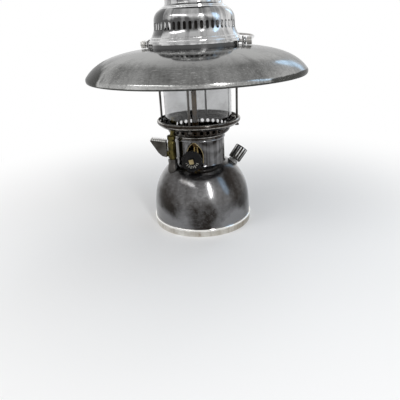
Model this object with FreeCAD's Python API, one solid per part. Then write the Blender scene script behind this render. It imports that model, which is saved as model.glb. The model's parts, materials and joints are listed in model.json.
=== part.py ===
import FreeCAD, Part
import math
import os

# Kerosene pressure lantern, millimetres, +Z up, origin on the axis at the foot.
# The hand wheel faces -Y, the bail turns on +X and -X, the pump leans out between +X and +Y.

# Tank
TANK_R = 85.0
TANK_WALL = 1.0
FOOT_H = 9.5
BEAD_H = 4.0
TANK_TOP = 108.5
BOSS_TOP = 112.5

# Collar and gallery
COLLAR_R = 41.8
SHEET = 0.8
COLLAR_LOW = 106.0
COLLAR_TOP = 151.5
ARCH_HALF = 13.5
ARCH_TOP = 147.0
ARCH_SPRING = 126.0
RING_BEADS = (148.9, 155.0)
RING_BEAD_R = 1.7
BOWL_R = 52.0
BOWL_HOLES = 32
BOWL_HOLE_D = 6.2
BOWL_HOLE_Z = 164.4
FLANGE_R = 69.0
FLANGE_LOW = 168.6
FLANGE_LIP = 180.6

# Frame, globe and shade
ROD_COUNT = 4
ROD_RING_R = 64.0
ROD_D = 3.6
RING_LOW = 286.4
RING_TOP = 289.2
RING_IN = 56.5
RING_OUT = 67.0
GLASS_R = 55.0
GLASS_WALL = 1.5
GLASS_LOW = 168.8
GLASS_TOP = 285.6
SHADE_R = 172.7
SHADE_TOP = 290.0
SHADE_HOLE = 57.5
SHADE_LIP_LOW = 246.5

# Ears, thumb screws and bail
EAR_R = 74.2
EAR_T = 1.5
EAR_W = 14.0
PIVOT_Z = 296.0
SCREW_D = 4.0
SCREW_HEAD_D = 11.5
SCREW_HEAD_L = 7.6
BAIL_WIRE = 3.2
BAIL_HALF = 85.0
BAIL_STRAIGHT = 50.0
BAIL_EYE_X = 77.4
BAIL_REST = 4.0

# Hood
HOOD_SKIRT_R = 67.5
HOOD_LIP_R = 72.0
HOOD_LIP_Z = 297.0
HOOD_NECK_R = 43.3
HOOD_NECK_Z = 351.5
SLOT_COUNT = 48
SLOT_W = 4.6
SLOT_H = 11.0
SLOT_Z = 320.7
CROWN_TOP = 375.0
CROWN_HOLES = 24
CROWN_HOLE_D = 6.0
CAP_R = 46.5
CAP_TOP = 388.0
NUT_D = 14.0
TOTAL_H = 400.0

# Burner column
VAP_Y = -26.0
VAP_D = 8.0
LOOP_LOW = 281.0
LOOP_PITCH = 13.0
JET_TOP = 309.0
CHIMNEY_R = 34.8
CHIMNEY_SHEET = 0.7
CHIMNEY_SEAM = 302.0
CHIMNEY_TOP = 345.0
CHAMBER_TOP = 305.0
MANTLE_R = 18.0

# Hand wheel
WHEEL_Z = 122.6
WHEEL_R = 17.0
WHEEL_Y = -57.0
WHEEL_T = 6.0
WHEEL_FLUTES = 14
SPINDLE_D = 5.0

# Pump
PUMP_AZ = 33.4
PUMP_TILT = 39.8
PUMP_R = 61.2
PUMP_Z = 94.6
BARREL_D = 15.0
BARREL_WALL = 1.0
BARREL_L = 80.0
KNOB_D = 24.0
KNOB_BASE_D = 22.0
KNOB_L = 26.0
KNOB_S = 4.3
KNOB_FLUTES = 14
KNOB_ROD_L = 6.0
PUMP_ROD_D = 4.4
PUMP_CAP_D = 17.0
PUMP_CAP_L = 3.5
PUMP_CAP_S = 0.5
PUMP_FLANGE_D = 19.0

# Filler cap with pressure gauge
FILL_AZ = 100.0
FILL_TILT = 42.0
FILL_R = 57.5
FILL_Z = 98.8
FILL_CAP_D = 33.0
FILL_CAP_L = 9.0
FILL_CAP_S = 1.8
NECK_D = 24.0
NECK_BORE = 20.0
NECK_TOP = 6.0
GASKET_T = 2.0
GAUGE_R = 13.5
GAUGE_BORE_R = 12.3
GAUGE_S = 10.8
BLEED_S = 6.4
BLEED_HEAD_D = 8.0
BLEED_D = 3.0

# Least gap between pieces that move on each other
RUN = 0.3

# Preheater
PRE_AZ = 222.0
PRE_R = 52.5
PRE_D = 14.0
PRE_LOW = 118.0
PRE_TOP = 158.0
TORCH_D = 10.0
TORCH_LOW_R = 49.5
TORCH_TOP_R = 44.5
TORCH_TOP = 187.0
LEVER_AZ = 190.0
LEVER_W = 16.0
LEVER_T = 1.0
LEVER_PIVOT_L = 10.5
LEVER_PIVOT_Z = 127.5
LEVER_PIN_D = 3.0
RIB_R = 1.1

X = FreeCAD.Vector(1, 0, 0)
Y = FreeCAD.Vector(0, 1, 0)
Z = FreeCAD.Vector(0, 0, 1)
ZERO = FreeCAD.Vector(0, 0, 0)


def vec(x, y, z):
    return FreeCAD.Vector(x, y, z)


def polar(radius, degrees, z=0.0):
    a = math.radians(degrees)
    return vec(radius * math.cos(a), radius * math.sin(a), z)


def rod(diameter, start, end):
    run = end.sub(start)
    return Part.makeCylinder(diameter / 2, run.Length, start, run)


def pipe(outer, inner, start, end):
    return rod(outer, start, end).cut(rod(inner, start, end))


def edge_through(points):
    spots = [vec(r, 0, z) for r, z in points]
    if len(spots) == 2:
        return Part.makeLine(spots[0], spots[1])
    curve = Part.BSplineCurve()
    curve.interpolate(spots)
    return curve.toShape()


def turned(spans):
    """Solid of revolution about Z from a closed chain of spans of (radius, z) points."""
    wire = Part.Wire([edge_through(span) for span in spans])
    return Part.makeSolid(Part.Face(wire).revolve(ZERO, Z, 360))


def turned_polygon(points):
    closed = points + [points[0]]
    return turned([list(pair) for pair in zip(closed, closed[1:])])


def offset_points(points, thickness):
    """The same open chain moved sideways by one sheet thickness, mitred at its corners."""
    moved = []
    last = len(points) - 1
    for i, (r, z) in enumerate(points):
        sides = []
        for a, b in ((i - 1, i), (i, i + 1)):
            if a < 0 or b > last:
                continue
            dr = points[b][0] - points[a][0]
            dz = points[b][1] - points[a][1]
            length = math.hypot(dr, dz)
            sides.append((-dz / length, dr / length))
        if len(sides) == 1:
            sides = sides * 2
        nr = sides[0][0] + sides[1][0]
        nz = sides[0][1] + sides[1][1]
        share = 1 + sides[0][0] * sides[1][0] + sides[0][1] * sides[1][1]
        moved_r = r + thickness * nr / share if r > 0 else 0.0
        moved.append((moved_r, z + thickness * nz / share))
    return moved


def pressed(spans, thickness):
    """Sheet metal turned about Z: spans share their end points, the sheet lies on their left."""
    chain = [spans[0][0]]
    for span in spans:
        chain += span[1:]
    inner = offset_points(chain, thickness)
    back = []
    start = 0
    for span in spans:
        end = start + len(span) - 1
        back.append(inner[start:end + 1][::-1])
        start = end
    return turned(spans + [[chain[-1], inner[-1]]] + back[::-1] + [[inner[0], chain[0]]])


def ring_bead(radius, z, size):
    return Part.makeTorus(radius, size, vec(0, 0, z))


def spun(shape, count, first=0.0):
    """Copies of one shape, evenly spaced about Z."""
    copies = []
    for i in range(count):
        copy = shape.copy()
        copy.rotate(ZERO, Z, first + 360.0 * i / count)
        copies.append(copy)
    return copies


def hexagon(flats, height, start, along):
    radius = flats / math.sqrt(3)
    corners = [polar(radius, 60 * i) for i in range(7)]
    prism = Part.Face(Part.makePolygon(corners)).extrude(vec(0, 0, height))
    return placed(prism, start, along)


def placed(shape, origin, along):
    """Moves a shape built about +Z so that +Z points along the given direction at origin."""
    shape = shape.copy()
    shape.Placement = FreeCAD.Placement(origin, FreeCAD.Rotation(Z, along))
    return shape


def knurled(diameter, length, ribs, depth):
    """A round grip about +Z with straight grooves down its side."""
    body = Part.makeCylinder(diameter / 2, length)
    body = body.makeChamfer(depth, [e for e in body.Edges if len(e.Vertexes) == 1])
    groove = Part.makeCylinder(depth, length, polar(diameter / 2 + depth * 0.3, 0))
    return body.cut(Part.makeCompound(spun(groove, ribs)))


def pump_axis():
    out = polar(math.sin(math.radians(PUMP_TILT)), PUMP_AZ)
    return out + vec(0, 0, math.cos(math.radians(PUMP_TILT)))


def on_pump(s):
    return polar(PUMP_R, PUMP_AZ, PUMP_Z) + pump_axis() * s


def fill_axis():
    out = polar(math.sin(math.radians(FILL_TILT)), FILL_AZ)
    return out + vec(0, 0, math.cos(math.radians(FILL_TILT)))


def on_filler(s):
    return polar(FILL_R, FILL_AZ, FILL_Z) + fill_axis() * s


def tank_outline():
    """Outer form of the tank: short upright foot, tapered wall, round shoulder, nearly flat top."""
    foot = [(83.6, FOOT_H + BEAD_H), (83.6, FOOT_H + BEAD_H + 2.0)]
    side = [(83.6, FOOT_H + BEAD_H + 2.0), (83.2, 27.0), (82.2, 42.0), (79.9, 58.0), (75.8, 71.0),
            (70.0, 82.5), (62.5, 93.0), (53.5, 101.5), (44.0, 106.4), (34.0, TANK_TOP)]
    return [foot, side, [(34.0, TANK_TOP), (0.0, TANK_TOP + 0.8)]]


def tank_body():
    """The tank as one full solid, for cutting seats to its curve."""
    low = FOOT_H + BEAD_H
    floor = [[(0.0, TANK_TOP + 0.8), (0.0, low)], [(0.0, low), (83.6, low)]]
    return turned(tank_outline() + floor)


# ---- tank ----

def foot_ring():
    """Skirt under the tank with the crimped bead round its top."""
    skirt = [(83.2, 0.6), (83.6, 0.0), (84.6, 0.0), (84.6, FOOT_H - 0.6), (84.4, FOOT_H)]
    bead_mid = FOOT_H + BEAD_H / 2
    bead = [(84.4, FOOT_H), (TANK_R + 0.5, FOOT_H + 0.8), (TANK_R + 0.9, bead_mid),
            (TANK_R + 0.5, FOOT_H + BEAD_H - 0.6), (84.2, FOOT_H + BEAD_H)]
    inside = [(83.7, FOOT_H + BEAD_H), (83.7, FOOT_H), (83.3, FOOT_H - 0.6), (83.2, 0.6)]
    lines = [list(pair) for pair in zip(skirt, skirt[1:])]
    lines += [bead, [bead[-1], inside[0]]]
    lines += [list(pair) for pair in zip(inside, inside[1:])]
    return turned(lines)


def tank_bottom():
    """Bottom plate, dished upward, flat where it is crimped into the bead."""
    rim = FOOT_H + BEAD_H
    under = [(0.0, rim + 4.0), (30.0, rim + 3.2), (60.0, rim + 0.2), (72.0, rim - 1.4)]
    flat = [(72.0, rim - 1.4), (83.5, rim - 1.4)]
    edge = [(83.5, rim - 1.4), (83.5, rim)]
    over = [(83.5, rim), (73.5, rim)]
    dish = [(73.5, rim), (61.0, rim + 1.6), (30.0, rim + 4.6), (0.0, rim + 5.4)]
    return turned([under, flat, edge, over, dish, [(0.0, rim + 5.4), (0.0, rim + 4.0)]])


def tank_shell():
    """Drawn brass tank: tapered wall and shoulder, holes for pump, filler, valve, preheater."""
    shell = pressed(tank_outline(), TANK_WALL)
    holes = [rod(BARREL_D, on_pump(-20), on_pump(20)),
             rod(NECK_D, on_filler(-10), on_filler(10)),
             Part.makeCylinder(7.0, 20, vec(0, VAP_Y, TANK_TOP - 10)),
             Part.makeCylinder(5.0, 20, polar(PRE_R, PRE_AZ, 94.0))]
    return shell.cut(Part.makeCompound(holes))


def tank_boss():
    """Threaded bush on top of the tank that carries the valve."""
    seat = Part.makeCylinder(11.0, 6.0, vec(0, VAP_Y, BOSS_TOP - 6.0)).cut(tank_body())
    stem = Part.makeCylinder(7.0, BOSS_TOP - TANK_TOP + 7.0, vec(0, VAP_Y, TANK_TOP - 7.0))
    bore = Part.makeCylinder(5.0, 20, vec(0, VAP_Y, TANK_TOP - 10))
    return seat.fuse(stem).cut(bore).removeSplitter()


# ---- collar and gallery ----

def arch_space():
    """Upright block with a pointed arch on top, as deep as the front of the collar."""
    front = -80.0
    foot = 90.0
    haunch_x = ARCH_HALF * 2 / 3
    haunch_z = ARCH_SPRING + 0.6 * (ARCH_TOP - ARCH_SPRING)
    tip = vec(0, front, ARCH_TOP)
    edges = [Part.makeLine(vec(-ARCH_HALF, front, foot), vec(ARCH_HALF, front, foot))]
    for side in (-1, 1):
        spring = vec(side * ARCH_HALF, front, ARCH_SPRING)
        edges.append(Part.makeLine(vec(side * ARCH_HALF, front, foot), spring))
        edges.append(Part.Arc(spring, vec(side * haunch_x, front, haunch_z), tip).toShape())
    outline = Part.Wire(Part.sortEdges(edges)[0])
    return Part.Face(outline).extrude(vec(0, 60, 0))


def collar():
    """Sheet cylinder on the tank shoulder, open to the hand wheel through an arch."""
    low = COLLAR_R + 1.4
    spans = [[(low, COLLAR_LOW + 0.4), (COLLAR_R + 0.3, COLLAR_LOW + 2.4), (COLLAR_R, COLLAR_LOW + 5.0)],
             [(COLLAR_R, COLLAR_LOW + 5.0), (COLLAR_R, COLLAR_TOP)]]
    wall = pressed(spans, SHEET)
    wall = wall.fuse(ring_bead(COLLAR_R - 0.1, RING_BEADS[0], RING_BEAD_R))
    return wall.cut(Part.makeCompound([arch_space(), tank_body()]))


def torch_path():
    return polar(TORCH_LOW_R, PRE_AZ, PRE_TOP - 1.0), polar(TORCH_TOP_R, PRE_AZ, TORCH_TOP)


def preheater_clearance():
    start, end = torch_path()
    body = rod(PRE_D + 1.6, polar(PRE_R, PRE_AZ, 140.0), polar(PRE_R, PRE_AZ, PRE_TOP + 3.0))
    run = end.sub(start)
    return body.fuse(rod(TORCH_D + 1.6, start, start + run * 0.5))


def gallery_bowl():
    """Perforated bowl between the collar and the flange."""
    r = COLLAR_R
    spans = [[(r, COLLAR_TOP), (r, RING_BEADS[1])],
             [(r, RING_BEADS[1]), (46.8, 156.2), (50.4, 159.2), (BOWL_R, 163.5),
              (BOWL_R, FLANGE_LOW - 0.8)]]
    wall = pressed(spans, SHEET)
    wall = wall.fuse(ring_bead(r - 0.1, RING_BEADS[1], RING_BEAD_R))
    drill = Part.makeCylinder(BOWL_HOLE_D / 2, 20, vec(40, 0, BOWL_HOLE_Z), X)
    holes = spun(drill, BOWL_HOLES, 180.0 / BOWL_HOLES)
    return wall.cut(Part.makeCompound(holes + [preheater_clearance()]))


def gallery_flange():
    """Dished ring that carries the globe and the rods, with a rolled lip."""
    low = FLANGE_LOW
    spans = [[(50.6, low - 0.8), (56.5, low - 0.8)],
             [(56.5, low - 0.8), (61.5, low + 0.8), (65.8, low + 3.4),
              (FLANGE_R - 0.2, low + 7.0), (FLANGE_R - 0.4, low + 10.6), (66.6, FLANGE_LIP)],
             [(66.6, FLANGE_LIP), (65.6, FLANGE_LIP - 1.2)]]
    dish = pressed(spans, 1.0)
    cuts = [frame_rods(), preheater_clearance()]
    return dish.cut(Part.makeCompound(cuts))


# ---- frame ----

def frame_rods():
    """Four upright rods, each with a riveted foot under the flange."""
    post = rod(ROD_D, polar(ROD_RING_R, 0, FLANGE_LOW), polar(ROD_RING_R, 0, RING_LOW))
    foot = rod(6.4, polar(ROD_RING_R, 0, FLANGE_LOW - 1.0), polar(ROD_RING_R, 0, FLANGE_LOW + 1.6))
    return Part.makeCompound(spun(post.fuse(foot).removeSplitter(), ROD_COUNT, 0.0))


def rod_ferrules():
    sleeve = pipe(6.0, ROD_D, polar(ROD_RING_R, 0, RING_LOW - 5.0), polar(ROD_RING_R, 0, RING_LOW))
    return Part.makeCompound(spun(sleeve, ROD_COUNT, 0.0))


def top_ring():
    """Flat ring on the rods, with two upright ears for the bail and the thumb screws."""
    ring = Part.makeCylinder(RING_OUT, RING_TOP - RING_LOW, vec(0, 0, RING_LOW))
    ring = ring.cut(Part.makeCylinder(RING_IN, 10, vec(0, 0, RING_LOW - 1)))
    height = RING_TOP - RING_LOW
    reach = EAR_R + EAR_T / 2
    arm = Part.makeBox(reach - 60, EAR_W, height, vec(60, -EAR_W / 2, RING_LOW))
    tab = Part.makeBox(EAR_T, EAR_W, PIVOT_Z - RING_LOW, vec(reach - EAR_T, -EAR_W / 2, RING_LOW))
    crown = Part.makeCylinder(EAR_W / 2, EAR_T, vec(reach - EAR_T, 0, PIVOT_Z), X)
    hole = Part.makeCylinder(SCREW_D / 2 + RUN, 30, vec(60, 0, PIVOT_Z), X)
    ear = arm.fuse([tab, crown]).cut(hole)
    ears = spun(ear, 2)
    return ring.fuse(ears).removeSplitter()


def globe_glass():
    """Straight glass cylinder with flame-polished ends."""
    r = GLASS_R
    w = GLASS_WALL
    low = GLASS_LOW
    top = GLASS_TOP
    return turned([[(r, low + w / 2), (r, top - w / 2)],
                   [(r, top - w / 2), (r - w / 2, top), (r - w, top - w / 2)],
                   [(r - w, top - w / 2), (r - w, low + w / 2)],
                   [(r - w, low + w / 2), (r - w / 2, low), (r, low + w / 2)]])


def reflector_shade():
    """Wide pressed reflector: flat seat, dome that steepens outward, turned-down rolled lip."""
    flat = [(SHADE_HOLE, SHADE_TOP), (70.0, SHADE_TOP)]
    dome = [(70.0, SHADE_TOP), (84.0, 289.3), (100.0, 287.5), (120.0, 283.6), (140.0, 277.3),
            (155.0, 269.6), (165.0, 261.8), (170.6, 255.6)]
    lip = [(170.6, 255.6), (SHADE_R - 0.3, 252.8), (SHADE_R, 250.0), (SHADE_R - 0.8, 247.6),
           (170.2, SHADE_LIP_LOW), (168.6, 247.6)]
    sheet = pressed([flat, dome, lip], -SHEET)
    notch = Part.makeBox(24, EAR_W + 2, 10, vec(53, -EAR_W / 2 - 1, SHADE_TOP - 5))
    return sheet.cut(Part.makeCompound(spun(notch, 2)))


# ---- valve, vaporizer and burner ----

def valve_body():
    """Brass valve block over the tank boss with the cross bore for the wheel spindle."""
    low = BOSS_TOP
    hexed = hexagon(19.0, 7.0, vec(0, VAP_Y, low), Z)
    stem = Part.makeCylinder(7.6, 26.0, vec(0, VAP_Y, low))
    nose = rod(12.0, vec(0, VAP_Y, WHEEL_Z), vec(0, VAP_Y - 16.0, WHEEL_Z))
    gland = placed(hexagon(13.0, 6.0, ZERO, Z), vec(0, VAP_Y - 16.0, WHEEL_Z), -Y)
    block = hexed.fuse([stem, nose, gland])
    bores = [rod(SPINDLE_D + 2 * RUN, vec(0, VAP_Y + 3, WHEEL_Z), vec(0, VAP_Y - 40, WHEEL_Z)),
             Part.makeCylinder(2.4, 60, vec(0, VAP_Y, low - 5))]
    return block.cut(Part.makeCompound(bores)).removeSplitter()


def pickup_tube():
    low = vec(0, VAP_Y, 24.0)
    return pipe(7.0, 5.0, low, vec(0, VAP_Y, TANK_TOP - 7.0))


def pickup_strainer():
    body = Part.makeCylinder(5.5, 4.0, vec(0, VAP_Y, 20.0))
    return body.cut(Part.makeCylinder(2.5, 3.0, vec(0, VAP_Y, 21.0)))


def vaporizer_tube():
    """Straight riser with the thicker union nut at its foot."""
    low = BOSS_TOP + 26.0
    nut = hexagon(14.0, 9.0, vec(0, VAP_Y, low), Z)
    thick = Part.makeCylinder(5.0, 38.0, vec(0, VAP_Y, low + 9.0))
    riser = Part.makeCylinder(VAP_D / 2, LOOP_LOW - low - 47.0, vec(0, VAP_Y, low + 47.0))
    bore = Part.makeCylinder(2.2, 200, vec(0, VAP_Y, low - 1))
    return nut.fuse([thick, riser]).cut(bore).removeSplitter()


def vaporizer_loop():
    """One turn of tube round the burner, brazed at both ends to the core under the jet."""
    path = Part.Wire(Part.makeHelix(LOOP_PITCH, LOOP_PITCH, -VAP_Y))
    path.translate(vec(0, 0, LOOP_LOW + 3.5))
    circle = Part.Wire(Part.makeCircle(3.4, vec(-VAP_Y, 0, LOOP_LOW + 3.5), Y))
    coil = path.makePipeShell([circle], True, True)
    coil.rotate(ZERO, Z, -90)
    core = Part.makeCylinder(3.0, JET_TOP - 6.5 - LOOP_LOW, vec(0, VAP_Y, LOOP_LOW))
    joints = [Part.makeSphere(4.4, vec(0, VAP_Y, LOOP_LOW + 4.4)),
              Part.makeSphere(4.4, vec(0, VAP_Y, LOOP_LOW + 3.5 + LOOP_PITCH))]
    bore = Part.makeCylinder(1.6, 60, vec(0, VAP_Y, LOOP_LOW - 10))
    return coil.fuse([core] + joints).cut(bore)


def jet_nozzle():
    low = JET_TOP - 6.5
    body = hexagon(8.0, 4.5, vec(0, VAP_Y, low), Z)
    tip = Part.makeCone(2.4, 1.2, 2.0, vec(0, VAP_Y, low + 4.5))
    bore = Part.makeCylinder(0.9, 20, vec(0, VAP_Y, low - 1))
    return body.fuse(tip).cut(bore)


def mixing_tube():
    """Hairpin tube that carries fuel vapour and air over from the jet to the burner."""
    bend = -VAP_Y / 2
    mouth = vec(0, VAP_Y, JET_TOP + 3.5)
    shoulder = vec(0, VAP_Y, JET_TOP + 10.0)
    wall_o = 6.0
    wall_i = 5.0
    legs = []
    for radius in (wall_o, wall_i):
        up = Part.makeCylinder(radius, shoulder.z - mouth.z, mouth)
        down = Part.makeCylinder(radius, shoulder.z - CHAMBER_TOP + 2.0, vec(0, 0, CHAMBER_TOP - 2.0))
        over = Part.makeTorus(bend, radius, ZERO, Z, -180, 180, 180)
        over.rotate(ZERO, X, 90)
        over.rotate(ZERO, Z, 90)
        over.translate(vec(0, -bend, shoulder.z))
        legs.append(up.fuse([down, over]))
    return legs[0].cut(legs[1])


def mixing_chamber():
    """Round chamber under the hairpin, threaded for the clay nozzle."""
    top = CHAMBER_TOP
    return turned_polygon([(6.0, top), (12.0, top), (19.0, top - 3.0), (19.0, top - 7.0),
                           (12.5, top - 10.5), (12.5, top - 15.0), (10.5, top - 15.0),
                           (10.5, top - 9.0), (16.0, top - 5.2), (6.0, top - 2.0)])


def burner_nozzle():
    """Clay nozzle with the groove that the mantle is tied round."""
    top = CHAMBER_TOP - 15.0
    return turned_polygon([(7.0, top), (13.5, top), (13.5, top - 5.0), (12.9, top - 6.0),
                           (11.6, top - 7.0), (11.6, top - 9.6), (13.2, top - 11.0),
                           (12.6, top - 14.0), (11.4, top - 15.0), (7.0, top - 15.0)])


def mantle():
    """Gathered mantle hanging from the clay nozzle."""
    bag = [(14.8, 278.0), (17.2, 270.0), (MANTLE_R, 258.0), (16.6, 245.0), (11.0, 234.5), (0.0, 230.0)]
    room = [(0.0, 231.0), (10.4, 235.3), (15.7, 245.4), (MANTLE_R - 1.0, 258.0), (16.2, 269.8),
            (13.8, 278.0)]
    neck = [(13.8, 278.0), (13.6, 279.4), (12.0, 281.6), (12.8, 282.2), (14.8, 279.6), (14.8, 278.0)]
    return turned([bag, [(0.0, 230.0), (0.0, 231.0)], room] + [list(pair) for pair in zip(neck, neck[1:])])


def chimney_foot():
    """Spun foot of the inner chimney: flat rim on the shade, rising to the tube's seat."""
    r = CHIMNEY_R
    spans = [[(62.0, SHADE_TOP), (58.0, SHADE_TOP)], [(58.0, SHADE_TOP), (46.0, 291.0)],
             [(46.0, 291.0), (39.0, 293.4), (r + 0.8, 297.2), (r, CHIMNEY_SEAM - 1.0)],
             [(r, CHIMNEY_SEAM - 1.0), (r, CHIMNEY_SEAM)]]
    return pressed(spans, -CHIMNEY_SHEET)


def inner_chimney():
    """Straight tube of the inner chimney, soldered on its foot."""
    return pipe(2 * (CHIMNEY_R + CHIMNEY_SHEET), 2 * CHIMNEY_R,
                vec(0, 0, CHIMNEY_SEAM), vec(0, 0, CHIMNEY_TOP))


def burner_bracket():
    """Three spokes that hold the mixing chamber inside the chimney."""
    spoke = Part.makeBox(CHIMNEY_R + 0.2 - 18.6, 5.0, 1.4, vec(18.6, -2.5, CHAMBER_TOP - 5.8))
    arms = spun(spoke, 3, 90.0)
    keep = Part.makeCylinder(CHIMNEY_R + 0.3, 60, vec(0, 0, 290)).cut(
        Part.makeCylinder(19.0, 60, vec(0, 0, 290)))
    trimmed = [arm.common(keep) for arm in arms]
    return Part.makeCompound(trimmed).cut(chimney_foot())


def needle_rod():
    """Pricker rod from the eccentric to the jet."""
    shaft = Part.makeCylinder(1.0, JET_TOP - 9.5 - WHEEL_Z - 3.2, vec(0, VAP_Y, WHEEL_Z + 3.2))
    wire = Part.makeCylinder(0.5, 4.0, vec(0, VAP_Y, JET_TOP - 9.5))
    return shaft.fuse(wire)


# ---- hand wheel ----

def wheel_spindle():
    """Spindle with the eccentric pin that lifts the pricker rod."""
    shaft = rod(SPINDLE_D, vec(0, VAP_Y - 3.0, WHEEL_Z), vec(0, WHEEL_Y - WHEEL_T, WHEEL_Z))
    pin = rod(2.0, vec(0, VAP_Y - 3.0, WHEEL_Z - 1.3), vec(0, VAP_Y + 1.0, WHEEL_Z - 1.3))
    return shaft.fuse(pin)


def hand_wheel():
    """Moulded wheel with a fluted rim, a recessed face and a hub."""
    disc = Part.makeCylinder(WHEEL_R, WHEEL_T)
    disc = disc.makeFillet(1.0, [e for e in disc.Edges if len(e.Vertexes) == 1])
    flute = Part.makeCylinder(2.6, WHEEL_T, polar(WHEEL_R + 1.2, 0))
    disc = disc.cut(Part.makeCompound(spun(flute, WHEEL_FLUTES)))
    recess = Part.makeCylinder(WHEEL_R - 3.2, 1.2, vec(0, 0, WHEEL_T - 1.2))
    recess = recess.cut(Part.makeCylinder(5.2, 1.2, vec(0, 0, WHEEL_T - 1.2)))
    back = Part.makeCylinder(WHEEL_R - 3.0, 2.2).cut(Part.makeCylinder(6.0, 2.2))
    bore = Part.makeCylinder(SPINDLE_D / 2, WHEEL_T)
    wheel = disc.cut(Part.makeCompound([recess, back, bore]))
    return placed(wheel, vec(0, WHEEL_Y, WHEEL_Z), -Y)


def wheel_nut():
    square = Part.makeBox(7.4, 7.4, 2.6, vec(-3.7, -3.7, 0))
    square.rotate(ZERO, Z, 12)
    stub = Part.makeCylinder(2.0, 3.6)
    return placed(square.fuse(stub), vec(0, WHEEL_Y - WHEEL_T, WHEEL_Z), -Y)


# ---- pump ----

def pump_barrel():
    return pipe(BARREL_D, BARREL_D - 2 * BARREL_WALL, on_pump(-BARREL_L), on_pump(PUMP_CAP_S))


def pump_flange():
    """Ring soldered on the shoulder round the barrel, cut to the tank's curve."""
    return pipe(PUMP_FLANGE_D, BARREL_D, on_pump(-8.0), on_pump(PUMP_CAP_S)).cut(tank_body())


def pump_cap():
    """Knurled screw cap that closes the barrel and guides the rod."""
    grip = knurled(PUMP_CAP_D, PUMP_CAP_L, 36, 0.7)
    bore = Part.makeCylinder(PUMP_ROD_D / 2 + RUN, PUMP_CAP_L)
    return placed(grip.cut(bore), on_pump(PUMP_CAP_S), pump_axis())


def pump_rod():
    return rod(PUMP_ROD_D, on_pump(-BARREL_L + 14.0), on_pump(KNOB_S + KNOB_ROD_L))


def pump_knob():
    """Long fluted knob that flares outward."""
    r = KNOB_D / 2
    base = KNOB_BASE_D / 2
    h = KNOB_L
    blank = turned([[(0, 0), (base - 0.8, 0)], [(base - 0.8, 0), (base, 0.8)],
                    [(base, 0.8), (base + 0.5, 7.0), (r - 0.4, 15.0), (r, h - 3.0)],
                    [(r, h - 3.0), (r - 0.5, h - 1.2), (r - 2.0, h - 0.2), (r - 3.4, h)],
                    [(r - 3.4, h), (0, h)], [(0, h), (0, 0)]])
    start = polar(base + 0.9, 0, -1.0)
    flute = rod(3.8, start, polar(r + 0.9, 0, h + 1.0))
    blank = blank.cut(Part.makeCompound(spun(flute, KNOB_FLUTES)))
    blank = blank.cut(Part.makeCylinder(PUMP_ROD_D / 2, KNOB_ROD_L))
    return placed(blank, on_pump(KNOB_S), pump_axis())


def pump_piston():
    """Leather cup between two washers at the end of the pump rod."""
    r = BARREL_D / 2 - BARREL_WALL - RUN
    cup = turned_polygon([(0, 0), (r - 2, 0), (r, 2.5), (r, 9.0), (r - 1.2, 9.0),
                          (r - 1.2, 3.2), (r - 2.0, 2.0), (3.6, 2.0), (3.6, 3.0), (0, 3.0)])
    nut = hexagon(6.4, 3.0, vec(0, 0, 3.0), Z).cut(Part.makeCylinder(PUMP_ROD_D / 2, 9, vec(0, 0, 3.0)))
    cup = cup.fuse(nut)
    return placed(cup, on_pump(-BARREL_L + 11.0), pump_axis())


def check_valve():
    """Non-return valve screwed into the foot of the barrel."""
    plug = Part.makeCylinder(BARREL_D / 2, 4.0)
    nose = Part.makeCylinder(5.0, 8.0, vec(0, 0, -8.0))
    bore = Part.makeCylinder(1.5, 14.0, vec(0, 0, -9.0))
    return placed(plug.fuse(nose).cut(bore), on_pump(-BARREL_L - 4.0), pump_axis())


# ---- filler ----

def filler_neck():
    return pipe(NECK_D, NECK_BORE, on_filler(-5.0), on_filler(NECK_TOP))


def filler_gasket():
    return pipe(NECK_D, NECK_BORE, on_filler(NECK_TOP), on_filler(NECK_TOP + GASKET_T))


def filler_cap():
    """Knurled cap over the neck, drilled from the side for the bleed screw."""
    grip = knurled(FILL_CAP_D, FILL_CAP_L, 40, 0.8)
    room = Part.makeCylinder(NECK_D / 2 + RUN, NECK_TOP + GASKET_T - FILL_CAP_S)
    cap = placed(grip.cut(room), on_filler(FILL_CAP_S), fill_axis())
    drill = Part.makeCylinder(BLEED_D / 2 + RUN, FILL_CAP_D)
    return cap.cut(placed(drill, on_filler(BLEED_S), bleed_axis()))


def gauge_case():
    cup = Part.makeCylinder(GAUGE_R, 6.5).cut(Part.makeCylinder(GAUGE_BORE_R, 6.5, vec(0, 0, 1.2)))
    return placed(cup, on_filler(GAUGE_S), fill_axis())


def gauge_dial():
    """Dial with the pivot that carries the hand."""
    pivot = Part.makeCylinder(0.7, 2.4)
    dial = Part.makeCylinder(GAUGE_BORE_R, 0.6).fuse(pivot)
    return placed(dial, on_filler(GAUGE_S + 1.2), fill_axis())


def gauge_needle():
    hand = Part.makeBox(9.5, 1.0, 0.5, vec(-2.0, -0.5, 0.4))
    hub = Part.makeCylinder(1.5, 1.2)
    blade = hand.fuse(hub).cut(Part.makeCylinder(0.7 + RUN, 2.0))
    blade.rotate(ZERO, Z, 200)
    return placed(blade, on_filler(GAUGE_S + 2.1), fill_axis())


def gauge_glass():
    return placed(Part.makeCylinder(GAUGE_BORE_R, 1.0), on_filler(GAUGE_S + 5.2), fill_axis())


def bleed_axis():
    return FreeCAD.Rotation(Z, fill_axis()).multVec(X)


def bleed_screw():
    """Knurled pressure release screw with its shank in the side of the cap."""
    wall = (FILL_CAP_D - NECK_D) / 2 - RUN
    shank = Part.makeCylinder(BLEED_D / 2, wall, vec(0, 0, -wall))
    head = knurled(BLEED_HEAD_D, 6.0, 16, 0.5)
    start = on_filler(BLEED_S) + bleed_axis() * (FILL_CAP_D / 2 + RUN)
    return placed(head.fuse(shank), start, bleed_axis())


# ---- preheater ----

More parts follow.
